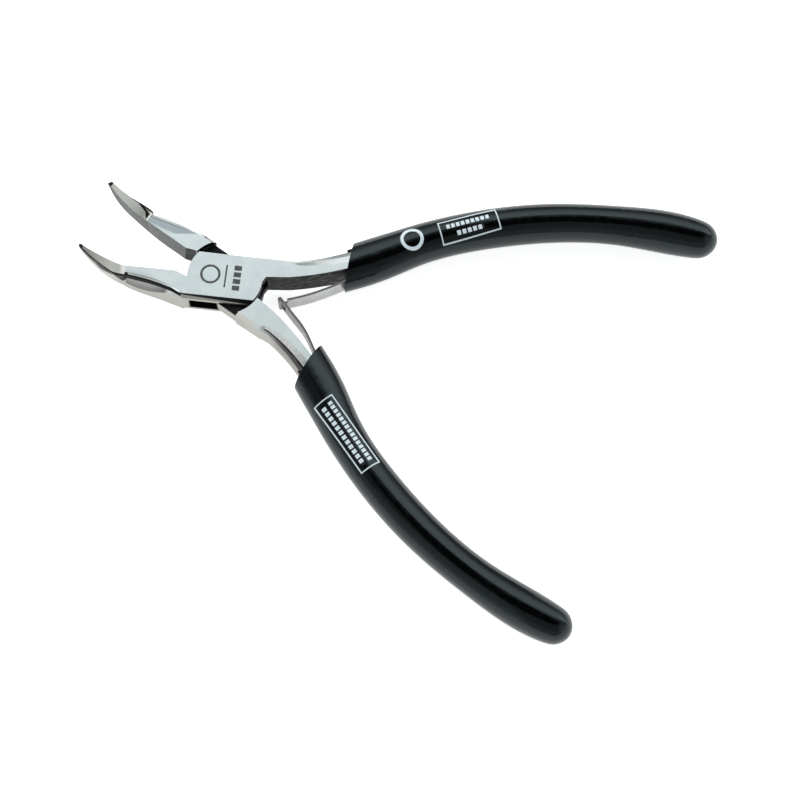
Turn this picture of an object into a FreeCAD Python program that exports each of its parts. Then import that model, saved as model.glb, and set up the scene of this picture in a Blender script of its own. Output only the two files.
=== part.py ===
import FreeCAD
import Part
import math
import os

# Needle nose pliers with a box joint, a bent nose, two hooked leaf springs and dipped grips.
# Millimetres. The pivot axis is Z; the underside of the head lies in Z = 0.
# Each half is drawn closed, with its jaw on -X -Y and its handle on +X +Y. The outer half (the one
# with the box) is that drawing; the inner half is its mirror image in Y. Both are then swung open
# by half of the opening. "lean" is +LEAN for the outer half and -LEAN for the inner half: the
# jaws' faces and the handles are not quite symmetric about the pivot.

Vec = FreeCAD.Vector
UP = Vec(0, 0, 1)
ACROSS = Vec(0, 1, 0)

# ---- driving dimensions ----
OPENING = 30.0              # angle between the jaws' faces with the springs relaxed
HEAD_THICK = 6.8            # steel thickness at the joint, over both cheeks
LEAN = 0.77                 # the handles' middle line passes this far beside the pivot
FACE_LEAN = 0.28            # the jaws' faces meet this far beside the pivot
FACE_GAP = 0.04             # each straight jaw face stands back this far from its middle plane

CHEEK_R = 7.14              # round ends of the box's cheeks
SHOULDER_R = 7.5            # hollow shoulders of the inner half, which turn around the cheeks
SLOT_HALF = 1.70            # half height of the slot between the cheeks
WAIST_HALF = 1.65           # half thickness of the inner half's waist
SLOT_END = 6.2              # end walls of the slot
WAIST_Y = 4.55              # side edges of the waist
WAIST_CORNER_X = 1.5        # where those edges turn inwards
PIN_R = 2.0                 # pivot rivet
PIN_CLEAR = 0.03            # running clearance of the waist on the rivet

WALL_Y = 4.8                # side walls of the head
HANDLE_EDGE = (4.6, 4.75)   # edge of the flat face and of its bevel, on the handle side
JAW_EDGE = (4.1, 4.3)       # the same on the jaw side
BEVEL_DROP = 0.4            # height of the bevel beside the flat face
WALL_DROP = 0.9             # the side wall is upright below this

JAW_ROOT_X = 7.6            # the jaw starts here, measured from the pivot towards the tips
FACE_START_X = 9.5          # the gripping face starts here, after a relief
RELIEF_DEPTH = 0.95         # depth of that relief at the cheeks' round end
RELIEF_SLANT = 0.85         # the relief's edge leans this far towards the tips
LOW_BEVEL = 0.3             # small bevel along the jaw's underside
BEND_X = 18.9               # the crease where the nose bends upwards
NOSE_TURN_START = 15.1      # the underside starts to turn here
NOSE_UNDER_R = 11.0         # radius of the underside's turn
TIP_WIDTH = 0.8             # width of one tip
STOCK = 1.0                 # stock on the gripping face before it is cut flat
NOSE_INWARD = 0.48          # the tips stand this far in front of the straight faces, and meet first

SHANK_END_X = 24.5          # the visible shank ends inside the grip's mouth
BEND_START = (34.2, 10.8)   # the handle's line: straight up to here, then one long arc
HANDLE_SLOPE = 24.5         # slope of the straight stretch
HANDLE_R = 95.0             # radius of the arc
HANDLE_TURN = 33.0          # angle of the arc
TANG_HALF = 2.0             # half width of the tang inside the grip
TANG_THICK = 5.2            # its thickness
TANG_TURN = 31.0            # the tang stops this far round the arc

GRIP_HALF_WIDTH = 3.7       # half width of the grip across the handle
GRIP_HALF_HEIGHT = 4.25     # half height of the grip
GRIP_MOUTH = ((22.5, 0.4), (23.25, 9.7))    # two points of the grip's cut mouth
GRIP_NOSE = 4.3             # length of the grip's rounded end

LEAF_THICK = 0.45           # spring strip
LEAF_TIP_HALF = 2.3         # half height of a leaf at its tip
LEAF_ROOT_HALF = 2.1        # half height at its root
TONGUE_HALF = 0.9           # the outer leaf's narrow tongue, hooked through the inner leaf
TONGUE_SLOT_HALF = 1.1
ROLL_R = 0.42               # rolled tip of the inner leaf
LEAF_RIVET_X = 30.0         # rivet that holds a leaf's root on the tang
LEAF_RIVET_R = 0.9

HALF = HEAD_THICK / 2
HALF_OPENING = OPENING / 2
SLOPE = math.radians(HANDLE_SLOPE)


# ---- helpers ----
def wire(start, moves, z=0.0):
    """A closed wire at height z. A move is a point for a line, or (middle, end) for an arc."""
    edges = []
    here = start
    for move in moves + [start]:
        if isinstance(move[0], tuple):
            middle, end = move
            edges.append(Part.Arc(Vec(*here, z), Vec(*middle, z), Vec(*end, z)).toShape())
        else:
            end = move
            edges.append(Part.LineSegment(Vec(*here, z), Vec(*end, z)).toShape())
        here = end
    return Part.Wire(edges)


def prism(outline, low, high):
    """The outline, drawn at height 0, as a solid between two heights."""
    face = Part.Face(outline)
    face.translate(UP * low)
    return face.extrude(UP * (high - low))


def disc(radius, low, high):
    return Part.makeCylinder(radius, high - low, Vec(0, 0, low))


def on_circle(radius, degrees):
    angle = math.radians(degrees)
    return (radius * math.cos(angle), radius * math.sin(angle))


def circle_at_y(radius, y, side):
    """The point of a circle about the pivot at this y, on the -X or the +X side."""
    return (side * math.sqrt(radius * radius - y * y), y)


def between(a, b, share):
    return a + (b - a) * share


# ---- the handle's line ----
def straight_point(x, offset, lean):
    """A point beside the handle's straight stretch. A positive offset is outwards."""
    y = BEND_START[1] + (x - BEND_START[0]) * math.tan(SLOPE) + lean
    return (x - offset * math.sin(SLOPE), y + offset * math.cos(SLOPE))


def arc_point(turn, offset, lean):
    """A point beside the handle's arc, turn degrees along it."""
    heading = SLOPE - math.radians(turn)
    x = BEND_START[0] + HANDLE_R * (math.sin(SLOPE) - math.sin(heading))
    y = BEND_START[1] + HANDLE_R * (math.cos(heading) - math.cos(SLOPE)) + lean
    return (x - offset * math.sin(heading), y + offset * math.cos(heading))


# ---- head and shank ----
FLAT, BEVEL, WALL = 0, 1, 2     # the three levels of a side: flat face, its bevel, upright wall


def relief_y(x, lean_share):
    """The gripping face's line. Next to the joint it stands back. x runs towards the tips."""
    start = math.sqrt(CHEEK_R ** 2 - RELIEF_DEPTH ** 2)
    depth = RELIEF_DEPTH * max(0.0, (FACE_START_X - x) / (FACE_START_X - start))
    return FACE_LEAN * lean_share - FACE_GAP - depth


def head_outline(level, z, lean):
    """The head and the visible shank, cut at one of the three levels."""
    handle_y = (*HANDLE_EDGE, WALL_Y)[level]
    jaw_y = (*JAW_EDGE, WALL_Y)[level]
    share = lean / LEAN
    cheek_start = circle_at_y(CHEEK_R, relief_y(CHEEK_R, share), -1)
    cheek_end = circle_at_y(CHEEK_R, handle_y, -1)
    hollow = (11.2, (4.2, 4.4, 4.7)[level] + 0.3 * lean)
    hollow_low = (12.1, (3.72, 4.15, 4.62)[level] + 0.4 * lean)
    bevel_start = (13.2, (3.45, 4.05, 4.6)[level] + 0.5 * lean)
    shank_middle = (18.7, (3.95, 5.05, 5.85)[level] + 0.8 * lean)
    shank_end = (SHANK_END_X, (5.5, 6.9, 8.1)[level] + lean)
    return wire((-JAW_ROOT_X, relief_y(JAW_ROOT_X, share)), [
        cheek_start,
        (on_circle(CHEEK_R, 165), cheek_end),
        hollow,
        (hollow_low, bevel_start),
        (shank_middle, shank_end),
        (SHANK_END_X, 4.25 + lean),
        ((16.5, 1.67 + 0.8 * lean), (12.0, 0.7 + 0.75 * lean)),
        (7.75, 0.3 + 0.75 * lean),
        on_circle(CHEEK_R, -1),
        (on_circle(CHEEK_R, -17), circle_at_y(CHEEK_R, -jaw_y, 1)),
        (-JAW_ROOT_X, -jaw_y),
    ], z)


def bevelled_head(lean):
    """The head and shank over the full thickness, with bevels along both side walls."""
    levels = [(FLAT, HALF), (BEVEL, HALF - BEVEL_DROP), (WALL, HALF - WALL_DROP)]
    body = prism(head_outline(WALL, 0, lean), WALL_DROP - HALF, HALF - WALL_DROP)
    for (high_level, high), (low_level, low) in zip(levels, levels[1:]):
        top = [head_outline(low_level, low, lean), head_outline(high_level, high, lean)]
        bottom = [head_outline(high_level, -high, lean), head_outline(low_level, -low, lean)]
        body = body.fuse([Part.makeLoft(top, True, True), Part.makeLoft(bottom, True, True)])
    return body


# ---- jaw ----
def jaw_section(top, low, face_y, widths, drops, low_widths, spare=0.0):
    """A section in the plane that holds Y and the points top and low, given as (x, z) with x
    towards the tips. widths are those of the flat, the bevel and the wall, and drops the heights of
    the bevel and of the steep facet under it. low_widths are those of the wall's foot and of the
    underside. spare is stock left on the face, to be cut away flat."""
    height = math.dist(top, low)

    def at(width, drop):
        share = drop / height
        y = face_y - width
        return Vec(-between(top[0], low[0], share), y, between(top[1], low[1], share))

    flat, bevel, wall = widths
    foot, under = low_widths
    return Part.makePolygon([
        at(-spare, 0),
        at(flat, 0),
        at(bevel, drops[0]),
        at(wall, drops[1]),
        at(foot, height - LOW_BEVEL),
        at(under, height),
        at(-spare, height),
        at(-spare, 0),
    ])


def jaw_widths(x, share):
    """Widths of the straight jaw at x: flat top, bevel, wall. The halves are ground by hand: the
    outer half's flat is hollower, and its bevel a little narrower."""
    along = (x - JAW_ROOT_X) / (BEND_X - JAW_ROOT_X)
    sag = along * (1 - along)
    flat = between(4.1, 1.2 + 0.15 * share, along) - (1.45 + 1.15 * share) * sag
    bevel = between(4.2, 1.75, along) - (0.05 + 1.15 * share) * sag
    return (flat, bevel, between(4.75, 2.1, along))


def underside(x):
    """The point of the jaw's underside at x, on its straight part or its turn."""
    run = max(0.0, x - NOSE_TURN_START)
    return (x, -HALF + NOSE_UNDER_R - math.sqrt(NOSE_UNDER_R ** 2 - run ** 2))


def jaw(lean):
    """Relief, straight jaw with its steep facet, and the bent nose, narrower on its underside."""
    share = lean / LEAN
    root_face = relief_y(JAW_ROOT_X, share)
    face_y = FACE_LEAN * share - FACE_GAP
    root_widths = [root_face + y for y in (*JAW_EDGE, WALL_Y)]
    start_top = (FACE_START_X, HALF)
    start_low = underside(FACE_START_X + RELIEF_SLANT)
    start_widths = jaw_widths(FACE_START_X, share)
    start_drops = (BEVEL_DROP, 1.3)
    start_under = (start_widths[2], start_widths[2] - LOW_BEVEL)
    root = jaw_section((JAW_ROOT_X, HALF), underside(JAW_ROOT_X), root_face, root_widths,
                       (BEVEL_DROP, WALL_DROP), (root_widths[2], root_widths[2] - LOW_BEVEL))
    reliefs = [root, jaw_section(start_top, start_low, face_y, start_widths, start_drops, start_under)]
    straight = [jaw_section(start_top, start_low, face_y, start_widths, start_drops, start_under, STOCK)]
    for x, facet_drop in ((12.5, 2.2), (15.5, 2.7), (BEND_X, 2.2)):
        widths = jaw_widths(x, share)
        wall = widths[2]
        straight.append(jaw_section((x, HALF), underside(x + 0.4), face_y, widths,
                                    (BEVEL_DROP, facet_drop), (wall, wall - LOW_BEVEL), STOCK))
    nose = []
    for top, low, wide, narrow, inward in (
        ((BEND_X, HALF), underside(BEND_X + 0.4), 2.08, 2.0, 0.0),
        ((21.2, 4.15), underside(23.2), 2.2, 1.3, 0.2),
        ((23.3, 6.0), underside(25.15), 1.72, 0.85, 0.4),
        ((25.0, 8.1), (26.25, 6.3), 1.25, 0.6, 0.46),
        ((26.5, 10.75), (27.05, 10.5), TIP_WIDTH, 0.5, NOSE_INWARD),
    ):
        widths = (wide - 0.12, wide, wide - 0.05)
        nose.append(jaw_section(top, low, face_y + inward, widths, (0.1, 0.3), (narrow, narrow - 0.1)))
    blade = Part.makeLoft(straight, True, False)
    blade = blade.cut(Part.makeBox(40, 2 * STOCK, 40, Vec(-40, face_y, -20)))
    return blade.fuse([Part.makeLoft(nose, True, False), Part.makeLoft(reliefs, True, True)])


# ---- tang ----
def tang(lean):
    """The bar inside the grip."""
    start = SHANK_END_X - 1.5
    outline = wire(straight_point(start, TANG_HALF, lean), [
        straight_point(BEND_START[0], TANG_HALF, lean),
        (arc_point(TANG_TURN / 2, TANG_HALF, lean), arc_point(TANG_TURN, TANG_HALF, lean)),
        arc_point(TANG_TURN, -TANG_HALF, lean),
        (arc_point(TANG_TURN / 2, -TANG_HALF, lean), straight_point(BEND_START[0], -TANG_HALF, lean)),
        straight_point(start, -TANG_HALF, lean),
    ])
    return prism(outline, -TANG_THICK / 2, TANG_THICK / 2)


def steel_half(lean):
    body = bevelled_head(lean).fuse([jaw(lean), tang(lean)])
    return body.cut(leaf_rivet(lean))


def outer_half():
    """The half with the box: two cheeks with a slot through them."""
    reach = 9.0
    slot = wire((-SLOT_END, -reach), [
        (-SLOT_END, -1.9),
        (-7.9, -0.95),
        (-7.9, reach),
        (SLOT_END, reach),
        (SLOT_END, 1.9),
        (7.9, 0.95),
        (7.9, -reach),
    ])
    body = steel_half(LEAN).cut(prism(slot, -SLOT_HALF, SLOT_HALF))
    return body.cut(disc(PIN_R, -HALF, HALF))


def inner_half():
    """The half whose waist passes through the box."""
    body = steel_half(-LEAN)
    for low, high in ((-2 * HALF, -WAIST_HALF), (WAIST_HALF, 2 * HALF)):
        body = body.cut(disc(SHOULDER_R, low, high))
    waist = wire((-7.9, -WAIST_Y), [
        (-WAIST_CORNER_X, -WAIST_Y),
        (7.9, 0.0),
        (7.9, WAIST_Y),
        (WAIST_CORNER_X, WAIST_Y),
        (-7.9, 0.1),
    ])
    waste = disc(SHOULDER_R, -HALF, HALF).cut(prism(waist, -HALF, HALF))
    return body.cut(waste).cut(disc(PIN_R + PIN_CLEAR, -HALF, HALF))


# ---- springs ----
def strip(points, thick, half_height):
    """A strip that follows a smooth line through the points."""
    line = Part.BSplineCurve()
    line.interpolate([Vec(x, y, 0) for x, y in points])
    sides = ([], [])
    count = 2 * len(points)
    for number in range(count + 1):
        at = between(line.FirstParameter, line.LastParameter, number / count)
        normal = line.tangent(at)[0].cross(UP)
        for side, sign in zip(sides, (1, -1)):
            side.append(line.value(at) + normal * (sign * thick / 2))
    edges = []
    for side in sides:
        curve = Part.BSplineCurve()
        curve.interpolate(side)
        edges.append(curve.toShape())
    for end in (0, -1):
        edges.append(Part.LineSegment(sides[0][end], sides[1][end]).toShape())
    outline = Part.Wire(Part.__sortEdges__(edges))
    return prism(outline, -half_height, half_height)


def leaf_root(lean):
    """Points of a leaf where it lies on the tang's inner side."""
    return [straight_point(x, -(TANG_HALF + LEAF_THICK / 2), lean) for x in (34.0, 31.0, 28.3)]


def tapered(leaf, tip_x):
    """Trim a leaf so that its height grows from its tip to its root."""
    root_x = 30.0
    side = Part.makePolygon([
        Vec(tip_x, -20, -LEAF_TIP_HALF),
        Vec(root_x, -20, -LEAF_ROOT_HALF),
        Vec(2 * root_x, -20, -LEAF_ROOT_HALF),
        Vec(2 * root_x, -20, LEAF_ROOT_HALF),
        Vec(root_x, -20, LEAF_ROOT_HALF),
        Vec(tip_x, -20, LEAF_TIP_HALF),
        Vec(tip_x, -20, -LEAF_TIP_HALF),
    ])
    return leaf.common(Part.Face(side).extrude(ACROSS * 60))


def outer_leaf():
    """The leaf on the outer half. Its end narrows to a tongue."""
    blade_end = 12.15
    tongue_points = [(15.0, -1.66), (blade_end, -2.72), (11.3, -3.3)]
    points = leaf_root(LEAN) + [(22.7, 2.4), (19.8, 0.63), (16.2, -1.2), (blade_end, -2.72)]
    blade = tapered(strip(points, LEAF_THICK, LEAF_ROOT_HALF), blade_end - 1)
    return blade.fuse(strip(tongue_points, LEAF_THICK, TONGUE_HALF))


def inner_leaf():
    """The leaf on the inner half. The other leaf's tongue passes through a slot near its tip."""
    points = leaf_root(-LEAN) + [
        (22.4, 1.6), (20.0, 0.13), (17.3, -1.15), (14.1, -2.13), (11.8, -2.85), (10.75, -3.1),
    ]
    blade = tapered(strip(points, LEAF_THICK, LEAF_ROOT_HALF), 10.3)
    slot = Part.makeBox(1.1, 2.0, 2 * TONGUE_SLOT_HALF, Vec(11.2, -3.9, -TONGUE_SLOT_HALF))
    roll = Part.makeCylinder(ROLL_R, 2 * LEAF_TIP_HALF, Vec(10.75, -2.93, -LEAF_TIP_HALF))
    return blade.cut(slot).fuse(roll)


def leaf_rivet(lean):
    """The rivet through a leaf's root and into the tang, square to the handle's line."""
    base = straight_point(LEAF_RIVET_X, -(TANG_HALF + LEAF_THICK + 0.35), lean)
    out = Vec(-math.sin(SLOPE), math.cos(SLOPE), 0)
    head = Part.makeCylinder(2 * LEAF_RIVET_R, 0.35, Vec(*base, 0), out)
    shank = Part.makeCylinder(LEAF_RIVET_R, 3.2, Vec(*base, 0), out)
    return head.fuse(shank)


# ---- grips ----
def grip_ring(centre, heading, width, height):
    """An oval section of the grip, square to the handle's heading, never lower than it is wide."""
    across = Vec(-math.sin(heading), math.cos(heading), 0)
    along = across.cross(UP)
    oval = Part.Ellipse(Vec(0, 0, 0), max(height, width), width)
    ring = Part.Wire(oval.toShape())
    turn = FreeCAD.Rotation(UP, across, along * -1, "XYZ")
    ring.Placement = FreeCAD.Placement(Vec(*centre, 0), turn)
    return ring


def grip_body(lean):
    rings = []
    for x, inwards, width in ((19.5, 0.6, 4.25), (23.5, 0.65, 4.3), (27.0, 0.6, 4.3), (31.0, 0.4, 4.1)):
        rings.append(grip_ring(straight_point(x, -inwards, lean), SLOPE, width, GRIP_HALF_HEIGHT))
    for turn, swell in ((0, 0.2), (8, 0.05), (16, 0), (24, 0), (HANDLE_TURN, 0)):
        heading = SLOPE - math.radians(turn)
        width = GRIP_HALF_WIDTH + swell
        rings.append(grip_ring(arc_point(turn, -swell, lean), heading, width, GRIP_HALF_HEIGHT))
    for share in (0.5, 0.8, 0.95, 0.995):
        turn = HANDLE_TURN + math.degrees(share * GRIP_NOSE / HANDLE_R)
        size = math.sqrt(1 - share * share)
        heading = SLOPE - math.radians(turn)
        ring = grip_ring(arc_point(turn, 0, lean), heading, GRIP_HALF_WIDTH * size, GRIP_HALF_HEIGHT * size)
        rings.append(ring)
    return Part.makeLoft(rings, True, False)


def grip(lean, steel, leaf):
    """The dipped grip: cut at its mouth, hollow for the tang and for the spring's root."""
    low, high = GRIP_MOUTH
    reach = 40.0
    drift = (high[0] - low[0]) / (high[1] - low[1])
    mouth = wire((low[0] - drift * reach, low[1] - reach), [
        (low[0] + drift * reach, low[1] + reach),
        (-reach, reach),
        (-reach, -reach),
    ])
    body = grip_body(lean).cut(prism(mouth, -reach, reach))
    pocket = wire(straight_point(28.5, -TANG_HALF, lean), [
        straight_point(18.0, -TANG_HALF, lean),
        straight_point(18.0, -4.15, lean),
        straight_point(24.5, -3.7, lean),
        straight_point(28.5, -2.8, lean),
    ])
    body = body.cut(prism(pocket, -LEAF_ROOT_HALF - 0.2, LEAF_ROOT_HALF + 0.2))
    return body.cut([steel, leaf, leaf_rivet(lean)])


# ---- place and export ----
def place(shape, mirrored):
    solid = shape.copy()
    if mirrored:
        solid = solid.mirror(Vec(0, 0, 0), ACROSS)
    solid.rotate(Vec(0, 0, 0), UP, -HALF_OPENING if mirrored else HALF_OPENING)
    solid.translate(UP * HALF)
    return solid


def save(name, shape, mirrored):
    placed = place(shape, mirrored)
    print(name, round(placed.Volume, 2), placed.isValid(), len(placed.Solids))
    placed.exportStep(f"parts/{name}.step")


os.makedirs("parts", exist_ok=True)
save("pivot_rivet", disc(PIN_R, -HALF, HALF), False)
for side, lean, half, leaf, mirrored in (
    ("outer", LEAN, outer_half(), outer_leaf(), False),
    ("inner", -LEAN, inner_half(), inner_leaf(), True),
):
    leaf = leaf.cut([half, leaf_rivet(lean)])
    save(f"{side}_half", half, mirrored)
    save(f"{side}_leaf_spring", leaf, mirrored)
    save(f"{side}_spring_rivet", leaf_rivet(lean), mirrored)
    save(f"{side}_grip", grip(lean, half, leaf), mirrored)
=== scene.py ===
import math
import bpy
import bmesh
from mathutils import Matrix, Vector


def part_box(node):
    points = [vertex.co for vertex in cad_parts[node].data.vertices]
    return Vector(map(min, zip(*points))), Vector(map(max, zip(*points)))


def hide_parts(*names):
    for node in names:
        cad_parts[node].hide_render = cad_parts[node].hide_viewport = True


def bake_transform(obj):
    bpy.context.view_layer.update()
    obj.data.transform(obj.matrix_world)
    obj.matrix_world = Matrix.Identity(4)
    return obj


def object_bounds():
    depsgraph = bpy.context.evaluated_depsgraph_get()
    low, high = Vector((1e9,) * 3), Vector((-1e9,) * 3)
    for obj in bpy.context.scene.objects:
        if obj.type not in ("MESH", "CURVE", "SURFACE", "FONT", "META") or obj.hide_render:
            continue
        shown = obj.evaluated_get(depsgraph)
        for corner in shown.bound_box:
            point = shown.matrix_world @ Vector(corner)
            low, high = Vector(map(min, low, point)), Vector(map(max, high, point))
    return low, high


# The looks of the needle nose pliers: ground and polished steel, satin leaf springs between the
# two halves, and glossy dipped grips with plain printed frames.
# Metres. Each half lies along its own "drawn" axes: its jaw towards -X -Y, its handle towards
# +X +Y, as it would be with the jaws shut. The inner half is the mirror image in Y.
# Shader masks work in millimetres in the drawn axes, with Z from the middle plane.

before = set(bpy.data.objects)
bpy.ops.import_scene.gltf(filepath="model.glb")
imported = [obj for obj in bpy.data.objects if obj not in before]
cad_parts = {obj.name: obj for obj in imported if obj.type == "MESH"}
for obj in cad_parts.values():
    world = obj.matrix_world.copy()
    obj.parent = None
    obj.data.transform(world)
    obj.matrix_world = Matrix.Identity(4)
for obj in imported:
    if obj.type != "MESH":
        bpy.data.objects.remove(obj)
cad_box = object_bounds()

MM = 0.001
HALF_OPENING = math.radians(15)
HEAD_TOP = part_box("pivot_rivet")[1].z
SIDES = {"outer": 1, "inner": -1}


# ---- shader helpers ----
class Nodes:
    """Short calls for the nodes of one node tree."""

    def __init__(self, tree):
        self.tree = tree

    def node(self, kind):
        return self.tree.nodes.new(kind)

    def put(self, socket, value):
        if isinstance(value, bpy.types.NodeSocket):
            self.tree.links.new(value, socket)
        else:
            socket.default_value = value

    def math(self, operation, *values):
        made = self.node("ShaderNodeMath")
        made.operation = operation
        for socket, value in zip(made.inputs, values):
            self.put(socket, value)
        return made.outputs[0]

    def ramp(self, value, low, high, start=0.0, end=1.0):
        """start where value is below low, end above high, smooth between."""
        made = self.node("ShaderNodeMapRange")
        made.interpolation_type = "SMOOTHSTEP"
        for socket, number in zip(made.inputs, (value, low, high, start, end)):
            self.put(socket, number)
        return made.outputs[0]

    def mix(self, mask, below, above):
        """Colours or numbers mixed by a mask."""
        made = self.node("ShaderNodeMix")
        if isinstance(below, (tuple, bpy.types.NodeSocketColor)):
            made.data_type = "RGBA"
            sockets = (made.inputs[0], made.inputs[6], made.inputs[7])
            output = made.outputs[2]
        else:
            sockets = (made.inputs[0], made.inputs[2], made.inputs[3])
            output = made.outputs[0]
        for socket, value in zip(sockets, (mask, below, above)):
            self.put(socket, value)
        return output

    # masks, each 1 where it holds and 0 elsewhere
    def all_of(self, *masks):
        total = masks[0]
        for mask in masks[1:]:
            total = self.math("MULTIPLY", total, mask)
        return total

    def any_of(self, *masks):
        total = masks[0]
        for mask in masks[1:]:
            total = self.math("MAXIMUM", total, mask)
        return total

    def invert(self, mask):
        return self.math("SUBTRACT", 1.0, mask)

    def above(self, value, level, soft):
        return self.ramp(value, level - soft, level + soft)

    def below(self, value, level, soft):
        return self.invert(self.above(value, level, soft))

    def within(self, value, middle, half, soft):
        """Mask of the values no further than half from the middle."""
        off = self.math("ABSOLUTE", self.math("SUBTRACT", value, middle))
        return self.below(off, half, soft)


class Shader(Nodes):
    """A node material that knows the drawn point and the way that a surface faces."""

    def __init__(self, name, side="outer"):
        self.material = bpy.data.materials.new(name)
        self.material.use_nodes = True
        super().__init__(self.material.node_tree)
        self.bsdf = self.tree.nodes["Principled BSDF"]
        coord = self.node("ShaderNodeTexCoord")
        self.x, self.y, self.z = self.drawn(coord.outputs["Object"], side, 1 / MM, HEAD_TOP / 2 / MM)
        self.ny, self.nz = self.drawn(coord.outputs["Normal"], side, 1, 0)[1:]

    def drawn(self, vector, side, scale, lift):
        """A vector turned into the drawn axes of a half, as separate X, Y and Z."""
        turn = self.node("ShaderNodeVectorRotate")
        turn.rotation_type = "Z_AXIS"
        self.put(turn.inputs["Vector"], vector)
        self.put(turn.inputs["Angle"], -SIDES[side] * HALF_OPENING)
        parts = self.node("ShaderNodeSeparateXYZ")
        self.put(parts.inputs[0], turn.outputs[0])
        x = self.math("MULTIPLY", parts.outputs[0], scale)
        y = self.math("MULTIPLY", parts.outputs[1], scale * SIDES[side])
        z = self.math("MULTIPLY_ADD", parts.outputs[2], scale, -lift)
        return x, y, z

    def set(self, name, value):
        self.put(self.bsdf.inputs[name], value)

    def noise(self, stretch, scale, detail):
        """Noise over the drawn point, with features longer along the axes of small stretch."""
        at = self.node("ShaderNodeCombineXYZ")
        for socket, part, share in zip(at.inputs, (self.x, self.y, self.z), stretch):
            self.put(socket, self.math("MULTIPLY", part, share))
        made = self.node("ShaderNodeTexNoise")
        self.put(made.inputs["Vector"], at.outputs[0])
        self.put(made.inputs["Scale"], scale)
        self.put(made.inputs["Detail"], detail)
        return made.outputs["Fac"]

    def bump(self, height, strength, distance, under=None):
        made = self.node("ShaderNodeBump")
        self.put(made.inputs["Strength"], strength)
        self.put(made.inputs["Distance"], distance)
        self.put(made.inputs["Height"], height)
        if under is not None:
            self.put(made.inputs["Normal"], under)
        return made.outputs["Normal"]

    # lines over the drawn X axis, as the Y that they have at each X
    def sloped(self, through, rise):
        """A straight line through a point."""
        return self.math("MULTIPLY_ADD", self.math("SUBTRACT", self.x, through[0]), rise, through[1])

    def kinked(self, start, level, rise, towards=1):
        """A line that is level up to start and rises beyond it, towards +X or -X."""
        beyond = self.math("MULTIPLY", self.math("SUBTRACT", self.x, start), towards)
        return self.math("MULTIPLY_ADD", self.math("MAXIMUM", beyond, 0.0), rise, level)

    def over(self, line, soft_low, soft_high, value=None):
        """Mask of the points above a line, in Y unless another value is given."""
        value = self.y if value is None else value
        return self.ramp(self.math("SUBTRACT", value, line), soft_low, soft_high)

    def under(self, line, soft_low, soft_high):
        return self.ramp(self.math("SUBTRACT", line, self.y), soft_low, soft_high)

    # plain marks in the drawn plane
    def local(self, centre, angle):
        """The drawn point along and across a line through centre at that angle in degrees."""
        turn = math.radians(angle)
        dx = self.math("SUBTRACT", self.x, centre[0])
        dy = self.math("SUBTRACT", self.y, centre[1])
        along = self.math("ADD", self.math("MULTIPLY", dx, math.cos(turn)),
                          self.math("MULTIPLY", dy, math.sin(turn)))
        across = self.math("SUBTRACT", self.math("MULTIPLY", dy, math.cos(turn)),
                           self.math("MULTIPLY", dx, math.sin(turn)))
        return along, across

    def box(self, at, half_length, half_width):
        return self.all_of(self.within(at[0], 0, half_length, MARK_EDGE),
                           self.within(at[1], 0, half_width, MARK_EDGE))

    def outline(self, at, half_length, half_width, line):
        """The outline of a rectangle."""
        inside = self.box(at, half_length - line, half_width - line)
        return self.math("SUBTRACT", self.box(at, half_length, half_width), inside)

    def ring(self, at, radius, line):
        squares = [self.math("MULTIPLY", part, part) for part in at]
        return self.within(self.math("SQRT", self.math("ADD", *squares)), radius, line / 2, MARK_EDGE)

    def blocks(self, at, offset, half_length, half_width, pitch, gap):
        """A row of equal blocks along at, offset across it, each with a gap as a share of the pitch."""
        along, across = at
        row = self.all_of(self.within(along, 0, half_length, MARK_EDGE),
                          self.within(across, offset, half_width, MARK_EDGE))
        from_start = self.math("MULTIPLY_ADD", along, 1 / pitch, half_length / pitch + POSITIVE)
        part = self.math("FRACT", from_start)
        return self.all_of(row, self.below(part, 1 - gap, 0.06))


MARK_EDGE = 0.05        # softness of a mark's edge
POSITIVE = 8            # whole blocks added so that the count never turns negative beside a row

# ---- steel ----
PALE = (0.382, 0.415, 0.415, 1)
PALE_CLOUD = (0.352, 0.385, 0.385, 1)
# warm tone of the walls: a painted reflection of warm surroundings
WARM = (0.38, 0.372, 0.34, 1)
# the next five tones: painted shade on the jaw's flat, and painted highlight and shade on its bevels
SLATE = (0.21, 0.24, 0.25, 1)
DARK_SLATE = (0.08, 0.09, 0.095, 1)
BEVEL_HIGHLIGHT = (0.85, 0.87, 0.85, 1)
MIDDLE_GREY = (0.42, 0.43, 0.43, 1)
LIGHT_GREY = (0.66, 0.68, 0.69, 1)
BROWN = (0.13, 0.11, 0.10, 1)
GROUND = (0.075, 0.078, 0.078, 1)
GROUND_LIGHT = (0.23, 0.235, 0.23, 1)
NOSE = (0.47, 0.47, 0.43, 1)
NOSE_SHADE = (0.27, 0.27, 0.245, 1)
CREAM = (0.50, 0.50, 0.46, 1)
# painted shading down the jaw's steep facet
FACET_DARK = (0.088, 0.088, 0.084, 1)
FACET_LIGHT = (0.23, 0.23, 0.22, 1)
# black painted shade and the grey of its mottled patches
BLACK = (0.008, 0.008, 0.009, 1)
MOTTLE_GREY = (0.10, 0.10, 0.10, 1)
ETCHED = (0.045, 0.045, 0.05, 1)
SHANK_BEVELS = {        # tones at the root and near the grip, a painted shading that darkens the outer root, and in the streaks
    "outer": ((0.16, 0.19, 0.20, 1), (0.50, 0.51, 0.50, 1), (0.60, 0.61, 0.60, 1)),
    "inner": ((0.50, 0.53, 0.54, 1), (0.52, 0.52, 0.50, 1), (0.86, 0.86, 0.84, 1)),
}
HEAD_RADIUS = 7.45
JAW_ROOT = -7.75
BEND = -18.9            # where the nose bends up
NOSE_END = 10.325       # height of the nose's cut end
SHANK_ROOT = 12.2
JAW_MIDDLE = -16.2      # where the steep facet reaches lowest
CORNER = 3.025          # height at which the walls end and the bevels begin


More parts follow.
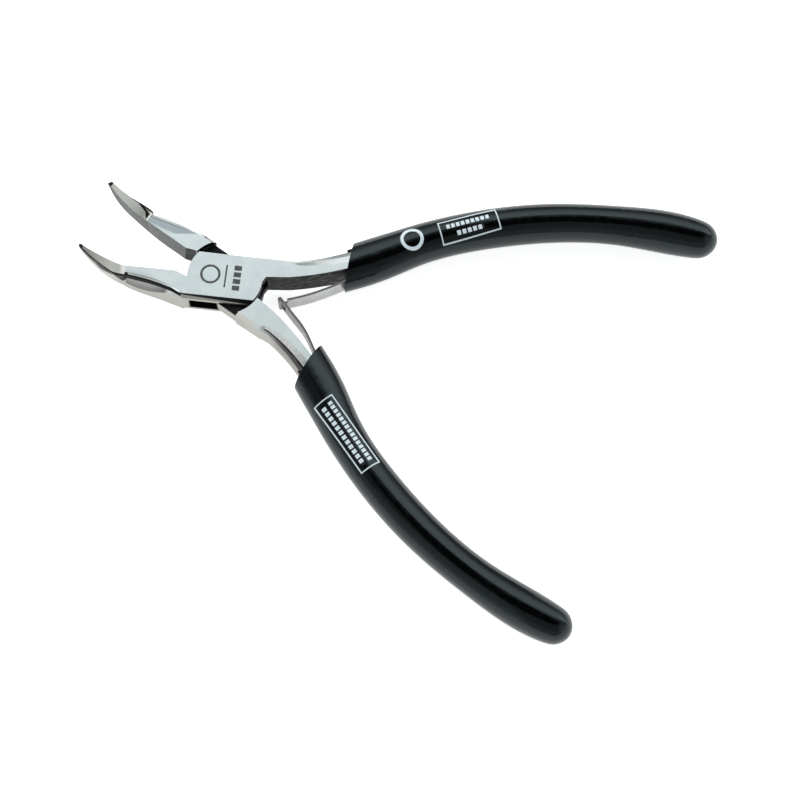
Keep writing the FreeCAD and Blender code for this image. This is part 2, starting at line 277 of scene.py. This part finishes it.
class Steel(Shader):
    """Ground and polished steel, with painted shade in the joint, in the relief and between the handles, and
    painted dark reflection lines along its edges.
    """

    def __init__(self, side):
        super().__init__(f"steel_{side}", side)
        self.side = side
        self.outer = side == "outer"
        self.find_regions()
        self.find_grains()
        # painted shade and painted dark reflection lines, all laid on in black
        self.dark = self.any_of(*self.corner_lines(), *self.joint(), self.wedge(), self.hidden_walls())
        self.set("Base Color", self.colour())
        self.finish()

    def find_regions(self):
        """Masks of the places that the colours and the black parts are built from."""
        x, y, z, ny = self.x, self.y, self.z, self.ny
        self.height = self.math("ABSOLUTE", z)
        slope = self.math("ABSOLUTE", self.nz)
        squares = self.math("ADD", self.math("MULTIPLY", x, x), self.math("MULTIPLY", y, y))
        self.radius = self.math("SQRT", squares)
        self.flat = self.above(slope, 0.97, 0.02)
        self.not_flat = self.invert(self.flat)
        self.tilted = self.all_of(self.above(slope, 0.35, 0.05), self.not_flat)
        self.upright = self.below(slope, 0.5, 0.05)
        self.in_head = self.below(self.radius, HEAD_RADIUS, 0.05)
        self.in_jaw = self.below(x, JAW_ROOT, 0.15)
        self.in_nose = self.below(x, BEND, 0.05)
        self.straight = self.all_of(self.in_jaw, self.invert(self.in_nose))
        self.in_shank = self.above(x, SHANK_ROOT, 0.4)
        self.jaw_side = self.below(ny, -0.275, 0.075)
        self.handle_side = self.above(ny, 0.275, 0.075)
        self.face = self.all_of(self.in_jaw, self.above(ny, 0.925, 0.025))
        self.head_side = self.all_of(self.jaw_side, self.above(x, -8.0, 0.1), self.below(x, 7.25, 0.25),
                                     self.not_flat)
        self.shank_bevel = self.all_of(self.tilted, self.in_shank, self.above(self.height, 2.95, 0.05),
                                       self.handle_side)

    def find_grains(self):
        """The grain of each kind of grinding, the clouds in the polish and the mottled patches that break up
        the painted shade.
        """
        self.along = self.noise((0.6, 9.0, 9.0), 2.2, 3)
        self.across = self.noise((9.0, 0.8, 0.8), 1.5, 3)
        self.upwards = self.noise((11.0, 11.0, 0.7), 1.4, 3)
        self.speckle = self.noise((3.6, 3.6, 2.4), 1.3, 3)
        self.cloud = self.noise((0.35, 0.35, 0.35), 1.0, 3)
        self.mottle = self.ramp(self.noise((0.5, 0.5, 0.9), 1.3, 4), 0.42, 0.62)

    # black parts
    def corner_lines(self):
        """Painted dark reflection lines where the walls meet the bevels, and painted shade on the steps
        inside the grips' mouths.
        """
        if self.outer:
            jaw_foot = self.sloped((-18.0, 2.0), 0.06)
            jaw_top = (3.15, 0.03)
            far_edge = self.kinked(-21.2, -1.76, 0.317, towards=-1)
        else:
            jaw_foot = 2.5
            jaw_top = (CORNER, 0.025)
            far_edge = self.kinked(-21.2, -2.32, 0.317, towards=-1)
        jaw = self.all_of(self.over(jaw_foot, 0.0, 0.06, self.z), self.below(self.z, *jaw_top),
                          self.not_flat, self.jaw_side, self.straight)
        leaning = self.math("MULTIPLY_ADD", self.x, 0.035, self.height)
        head = self.all_of(self.head_side, self.above(leaning, 2.75, 0.03))
        off_edge = self.math("SUBTRACT", self.y, far_edge)
        nose = self.all_of(self.in_nose, self.within(off_edge, 0.0, 0.2, 0.03), self.above(self.z, 2.8, 0.2))
        tang_step = self.all_of(self.flat, self.in_shank, self.below(self.height, 3.25, 0.05))
        if self.outer:
            return jaw, head, nose, tang_step
        nose = self.all_of(nose, self.above(self.x, -23.2, 0.4))
        shank = self.all_of(self.above(self.height, 2.83, 0.03), self.below(self.height, CORNER, 0.025),
                            self.not_flat, self.handle_side, self.in_shank)
        return jaw, head, nose, tang_step, shank

    def joint(self):
        """Painted shade on the hidden walls of the box and of the waist that turns in it."""
        beside = self.math("ABSOLUTE", self.y)
        if self.outer:
            slot = self.all_of(self.below(self.height, 1.725, 0.015),
                               self.below(self.math("ABSOLUTE", self.x), 6.4, 0.1))
            cheek = self.all_of(self.upright, self.in_head, self.above(self.radius, 7.0, 0.05),
                                self.below(beside, 4.6, 0.1))
            return slot, cheek
        end_walls = self.all_of(self.upright, self.above(beside, 4.375, 0.075))
        waist = self.all_of(self.below(self.height, 1.685, 0.015), self.in_head, self.invert(end_walls))
        shoulders = self.all_of(self.upright, self.below(self.radius, 7.6, 0.05),
                                self.above(self.height, 1.68, 0.02))
        return waist, shoulders

    def wedge(self):
        """Painted shade: the black corner where the nose meets the straight jaw."""
        beyond_root = self.above(self.z, 2.7, 0.1)
        if self.outer:
            off_middle = self.math("ABSOLUTE", self.math("SUBTRACT", self.x, -19.5))
            foot = self.math("MULTIPLY_ADD", off_middle, 1.9, 0.1)
            on_wall = self.all_of(self.jaw_side, self.over(foot, -0.05, 0.1, self.z),
                                  self.within(self.x, -19.6, 1.35, 0.1))
            along, across = self.local((-19.38, -2.35), -8)
            on_top = self.ring((along, self.math("MULTIPLY", across, 2.2)), 0.0, 2.2)
            return self.any_of(on_wall, self.all_of(on_top, beyond_root))
        low_edge = self.kinked(-20.91, -2.2, 0.295)
        high_edge = self.math("ADD", self.kinked(-22.8, -2.0, 0.19), self.kinked(-20.2, 0.0, 1.0))
        return self.all_of(self.within(self.x, -21.2, 1.95, 0.05), beyond_root,
                           self.over(low_edge, -0.04, 0.04), self.under(high_edge, -0.04, 0.04))

    def hidden_walls(self):
        """Painted shade on the nose's cut end, the relief behind the gripping face and the handle's inner
        wall.
        """
        nose_end = self.all_of(self.in_nose, self.above(self.z, NOSE_END, 0.075))
        slanted = self.math("MULTIPLY_ADD", self.z, -0.125, self.x)
        relief = self.all_of(self.in_jaw, self.above(slanted, -9.94, 0.04), self.above(self.ny, 0.65, 0.15),
                             0.95)
        below_middle = self.invert(self.over(self.sloped((0.0, 0.0), 0.33), -1.2, -0.6))
        handle = self.all_of(self.above(self.x, 6.85, 0.35), self.below(self.ny, -0.4, 0.1), self.upright,
                             below_middle)
        return self.any_of(nose_end, relief, handle)

    # colours, each laid over the one before
    def colour(self):
        colour = self.mix(self.ramp(self.cloud, 0.3, 0.7), PALE, PALE_CLOUD)
        # the walls and the head's jaw-side faces tinted warm, a painted reflection of warm surroundings
        colour = self.mix(self.all_of(self.upright, self.invert(self.in_nose)), colour, WARM)
        colour = self.mix(self.head_side, colour, WARM)
        colour = self.on_jaw(colour)
        colour = self.on_handle(colour)
        colour = self.on_nose(colour)
        colour = self.on_face(colour)
        # the painted shade is black, broken by mottled grey patches towards the handle
        shade_mottle = self.all_of(self.mottle, self.ramp(self.x, 12, 20), 0.5)
        colour = self.mix(self.dark, colour, self.mix(shade_mottle, BLACK, MOTTLE_GREY))
        return self.etched(colour) if self.outer else colour

    def on_jaw(self, colour):
        """Painted shade on the hollow of the flat, a painted highlight and shade on the long bevel beside
        it, and painted shading down the steep facet under that.
        """
        # painted shade laid in slate on the flat's hollow
        hollow = self.all_of(self.under(self.sloped((-13.0, -1.3), -0.196), -0.25, 0.35),
                             self.under(self.sloped((-9.7, -3.7), -0.727), -0.04, 0.06),
                             self.flat, self.straight)
        if self.outer:
            hollow = self.all_of(hollow, self.ramp(self.x, -19, -9, 0.28, 0.1))
            bevel_shading = self.mix(self.above(self.height, 3.3, 0.03), BEVEL_HIGHLIGHT, MIDDLE_GREY)
        else:
            bevel_shading = self.mix(self.above(self.height, 3.32, 0.03), LIGHT_GREY, DARK_SLATE)
        colour = self.mix(hollow, colour, SLATE)
        # the bevel is painted with a highlight along its lower part and darker along its top
        bevel = self.all_of(self.tilted, self.straight, self.above(self.height, 2.985, 0.035), self.jaw_side)
        colour = self.mix(bevel, colour, bevel_shading)
        # painted shading: the steep facet darker at its foot, lighter higher up
        from_middle = self.math("SUBTRACT", self.x, JAW_MIDDLE)
        foot = self.math("MULTIPLY_ADD", self.math("MULTIPLY", from_middle, from_middle), 0.085, -0.8)
        facet = self.all_of(self.straight, self.jaw_side, self.upright, self.over(foot, -0.05, 0.1, self.z))
        facet_shading = self.mix(self.over(foot, 0.2, 2.6, self.z), FACET_DARK, FACET_LIGHT)
        return self.mix(facet, colour, facet_shading)

    def on_handle(self, colour):
        """The streaky bevel beside the tang, with painted shading along it, and the brown wall under it."""
        root_tone, grip_tone, streak_tone = SHANK_BEVELS[self.side]
        # painted shading along the bevel, from its root to near the grip
        bevel_shading = self.mix(self.ramp(self.x, 12.5, 18.5), root_tone, grip_tone)
        streak = self.ramp(self.across, 0.35, 0.68)
        colour = self.mix(self.shank_bevel, colour, self.mix(streak, bevel_shading, streak_tone))
        if self.outer:
            brown = self.all_of(self.upright, self.handle_side, self.ramp(self.x, 12.5, 21.0))
        else:
            brown = self.all_of(self.above(self.ny, 0.3, 0.1), self.ramp(self.z, -5.0, 1.6),
                                self.ramp(self.x, 11.5, 17.5), self.below(self.height, 2.975, 0.025))
        return self.mix(self.all_of(brown, self.ramp(self.upwards, 0.2, 0.8, 0.7, 1)), colour, BROWN)

    def on_nose(self, colour):
        """The satin nose, the outer one with painted shade towards its tip and cream where it bends up, with
        warm walls as a painted reflection.
        """
        tone = self.mix(self.ramp(self.x, -20.3, -19.3), NOSE_SHADE, CREAM) if self.outer else NOSE
        colour = self.mix(self.in_nose, colour, tone)
        # the nose's walls tinted warm: a painted reflection
        return self.mix(self.all_of(self.in_nose, self.jaw_side), colour, WARM)

    def on_face(self, colour):
        """The ground gripping face, with painted shade darkening it on the inner jaw and most of all on its
        nose.
        """
        fleck = self.ramp(self.mix(0.4, self.speckle, self.upwards), 0.38, 0.62)
        ground = self.mix(fleck, GROUND, GROUND_LIGHT)
        # painted shade: the inner jaw's face is darkened towards black
        if not self.outer:
            ground = self.mix(self.mix(self.in_nose, 0.2, 0.5), ground, BLACK)
        return self.mix(self.face, colour, ground)

    def etched(self, colour):
        """Plain etched marks on the upper cheek: a ring, a bar and four blocks."""
        marks = self.any_of(self.ring(self.local((-2.78, 0.28), 0), 1.7, 0.45),
                            self.box(self.local((0.15, 0.17), 90), 2.3, 0.16),
                            self.blocks(self.local((2.3, 0.0), 90), 0, 2.55, 0.7, 1.35, 0.26))
        marks = self.all_of(marks, self.flat, self.above(self.z, 3.25, 0.05))
        return self.mix(self.all_of(marks, self.ramp(self.speckle, 0.2, 0.6, 0.85, 1)), colour, ETCHED)

    def finish(self):
        """Roughness, metal and the fine relief of the grinding."""
        rough = self.ramp(self.along, 0.3, 0.7, 0.27, 0.36)
        rough = self.mix(self.upright, rough, 0.38)
        rough = self.mix(self.in_nose, rough, 0.42)
        rough = self.mix(self.face, rough, 0.5)
        self.set("Roughness", self.mix(self.dark, rough, self.mix(self.mottle, 0.5, 0.35)))
        metallic = self.mix(self.dark, 1.0, 0.2)
        if not self.outer:
            # the ground bevel beside the tang scatters the light
            scattering = self.all_of(self.shank_bevel, self.invert(self.dark), 0.75)
            metallic = self.math("SUBTRACT", metallic, scattering)
        self.set("Metallic", metallic)
        self.set("Specular IOR Level", 0.08)
        grind = self.mix(self.flat, self.across, self.along)
        grind = self.mix(self.face, grind, self.mix(0.5, self.speckle, self.upwards))
        normal = self.bump(grind, 0.25, 0.02 * MM)
        self.set("Normal", self.bump(self.cloud, 0.15, 0.03 * MM, normal))


EDGE_BROWN = (0.09, 0.088, 0.085, 1)
# the inner leaf's tones are darker than the outer's: painted shade on a copy of one steel
LEAF_TONES = {
    "outer": ((0.46, 0.47, 0.46, 1), (0.38, 0.385, 0.38, 1)),
    "inner": ((0.30, 0.305, 0.30, 1), (0.22, 0.222, 0.22, 1)),
}


def spring_steel(side):
    """Satin spring steel with brown edges."""
    s = Shader(f"spring_steel_{side}", side)
    grain = s.noise((8.0, 8.0, 0.8), 1.5, 3)
    cloud = s.noise((0.4, 0.4, 0.4), 1.0, 3)
    light, shade = LEAF_TONES[side]
    colour = s.mix(s.ramp(cloud, 0.35, 0.65), light, shade)
    edge = s.ramp(s.math("ABSOLUTE", s.nz), 0.5, 0.8)
    s.set("Base Color", s.mix(edge, colour, EDGE_BROWN))
    s.set("Metallic", 1.0)
    s.set("Roughness", s.ramp(grain, 0.3, 0.7, 0.3, 0.42))
    s.set("Normal", s.bump(grain, 0.25, 0.02 * MM))
    return s.material


# ---- grips ----
PRINT_WHITE = (0.62, 0.70, 0.74, 1)
DIP_BLACK = (0.0012, 0.0013, 0.0014, 1)
DIP_GREY = (0.0026, 0.0027, 0.0029, 1)
FRAME_LINE = 0.23
ROW_HALF = 0.42         # half height of a printed row
ROW_GAP = 0.3           # gap between blocks, as a share of their pitch


def prints(s, side):
    """Plain printed frames with rows of blocks, and a ring on the outer grip."""
    if side == "outer":
        at = s.local((44.69, 15.25), 22.3)
        ring = s.ring(s.local((34.2, 11.35), 0), 1.9, 0.62)
        return s.any_of(s.outline(at, 5.75, 2.2, FRAME_LINE),
                        s.blocks(at, 0.85, 4.3, ROW_HALF, 0.96, ROW_GAP),
                        s.blocks(at, -0.8, 2.6, ROW_HALF, 1.04, ROW_GAP), ring)
    at = s.local((37.2, 11.43), 19.2)
    return s.any_of(s.outline(at, 7.9, 2.05, FRAME_LINE),
                    s.blocks(at, 0.78, 6.6, ROW_HALF, 1.1, ROW_GAP),
                    s.blocks(at, -0.78, 6.9, ROW_HALF, 0.92, ROW_GAP))


def grip_plastic(side):
    """Glossy black dip, printed on its upper side."""
    s = Shader(f"grip_plastic_{side}", side)
    dimple = s.noise((0.9, 0.9, 0.9), 1.0, 2)
    dust = s.noise((4.0, 4.0, 4.0), 1.4, 4)
    printed = s.all_of(prints(s, side), s.above(s.z, 0.75, 0.25), s.ramp(dust, 0.2, 0.45, 0.7, 1))
    colour = s.mix(s.ramp(dimple, 0.4, 0.7), DIP_BLACK, DIP_GREY)
    s.set("Base Color", s.mix(printed, colour, PRINT_WHITE))
    s.set("Roughness", s.mix(printed, s.ramp(dust, 0.35, 0.75, 0.09, 0.14), 0.45))
    s.set("Specular IOR Level", 0.3)
    s.set("Specular Tint", (0.78, 0.95, 1.0, 1))
    s.set("Normal", s.bump(dimple, 0.2, 0.12 * MM))
    return s.material


def paint(node, material):
    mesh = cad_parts[node].data
    for number in range(max(1, len(mesh.materials))):
        if number < len(mesh.materials):
            mesh.materials[number] = material
        else:
            mesh.materials.append(material)


# ---- leaves ----
LONGEST_EDGE = 1.2 * MM
SUBDIVISIONS = 4
SHARP_ANGLE = math.radians(35)


def bent_leaf(side, material):
    """A smooth-shaded copy of a leaf, its long edges subdivided, shown in place of the CAD leaf."""
    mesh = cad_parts[f"{side}_leaf_spring"].data.copy()
    mesh.materials.clear()
    mesh.materials.append(material)
    edit = bmesh.new()
    edit.from_mesh(mesh)
    bmesh.ops.remove_doubles(edit, verts=edit.verts, dist=0.001 * MM)
    for _ in range(SUBDIVISIONS):
        long_edges = [edge for edge in edit.edges if edge.calc_length() > LONGEST_EDGE]
        bmesh.ops.subdivide_edges(edit, edges=long_edges, cuts=1)
        bmesh.ops.triangulate(edit, faces=edit.faces)
    for face in edit.faces:
        face.smooth = True
    edit.to_mesh(mesh)
    edit.free()
    if "custom_normal" in mesh.attributes:
        mesh.attributes.remove(mesh.attributes["custom_normal"])
    mesh.set_sharp_from_angle(angle=SHARP_ANGLE)
    leaf = bpy.data.objects.new(f"{side}_leaf", mesh)
    bpy.context.collection.objects.link(leaf)
    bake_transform(leaf)
    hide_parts(f"{side}_leaf_spring")


# ---- build ----
for side in SIDES:
    metal = Steel(side).material
    spring = spring_steel(side)
    paint(f"{side}_half", metal)
    paint(f"{side}_spring_rivet", spring)
    bent_leaf(side, spring)
    paint(f"{side}_grip", grip_plastic(side))
    if side == "outer":
        paint("pivot_rivet", metal)

# ---- studio ----
LOOK_AT = Vector((0.03923, -0.00970, HEAD_TOP / 2))
AZIMUTH = math.radians(21.41)
ELEVATION = math.radians(71)
DISTANCE = 0.48
LENS = 115.8
SENSOR = 36
FLOOR_SIZE = 1.5
FLOOR_GLOW = 0.78
SKY_WHITE = (0.95, 0.985, 1.0, 1)


def set_camera():
    data = bpy.data.cameras.new("camera")
    data.lens = LENS
    data.sensor_width = SENSOR
    camera = bpy.data.objects.new("camera", data)
    back = Vector((math.sin(AZIMUTH) * math.cos(ELEVATION), -math.cos(AZIMUTH) * math.cos(ELEVATION),
                   math.sin(ELEVATION)))
    camera.location = LOOK_AT + back * DISTANCE
    camera.rotation_euler = (-back).to_track_quat("-Z", "Y").to_euler()
    bpy.context.collection.objects.link(camera)
    bpy.context.scene.camera = camera


def lay_floor():
    """White paper under the object, bright enough to hide most of the shadow."""
    mesh = bpy.data.meshes.new("floor")
    edit = bmesh.new()
    bmesh.ops.create_grid(edit, x_segments=4, y_segments=4, size=FLOOR_SIZE)
    edit.to_mesh(mesh)
    edit.free()
    floor = bpy.data.objects.new("floor", mesh)
    floor.location = (0, 0, cad_box[0].z)
    bpy.context.collection.objects.link(floor)
    paper = Shader("paper")
    paper.set("Base Color", (0.9, 0.9, 0.9, 1))
    paper.set("Roughness", 0.9)
    paper.set("Emission Color", (1, 1, 1, 1))
    paper.set("Emission Strength", FLOOR_GLOW)
    mesh.materials.append(paper.material)


def hang_sky():
    """A broad softbox above and behind the object, a dark gap overhead and paler walls around."""
    world = bpy.data.worlds.new("studio")
    world.use_nodes = True
    sky = Nodes(world.node_tree)
    parts = sky.node("ShaderNodeSeparateXYZ")
    sky.put(parts.inputs[0], sky.node("ShaderNodeTexCoord").outputs["Generated"])
    east, north, up = parts.outputs

    def turned(east_share, north_share):
        return sky.math("ADD", sky.math("MULTIPLY", east, east_share),
                        sky.math("MULTIPLY", north, north_share))

    away = turned(-math.sin(AZIMUTH), math.cos(AZIMUTH))
    right = turned(math.cos(AZIMUTH), math.sin(AZIMUTH))
    tilt = sky.math("DEGREES", sky.math("ARCTAN2", away, up))
    nearer = sky.math("MULTIPLY", tilt, -1)
    softbox = sky.all_of(sky.ramp(tilt, 4, 30, 0, 2.7), sky.ramp(tilt, 38, 80, 1, 0.15))
    front = sky.math("ADD", sky.ramp(nearer, 20, 34, 0, 0.42), sky.ramp(nearer, 50, 75, 0, 0.3))
    sides = sky.math("ADD", sky.ramp(right, 0.4, 0.8, 0, 0.6), sky.ramp(right, -0.6, -0.4, 0.35, 0))
    background = world.node_tree.nodes["Background"]
    sky.put(background.inputs["Strength"], sky.math("ADD", sky.math("ADD", softbox, front), sides))
    sky.put(background.inputs["Color"], SKY_WHITE)
    bpy.context.scene.world = world


set_camera()
lay_floor()
hang_sky()
bpy.context.scene.view_settings.view_transform = "Standard"
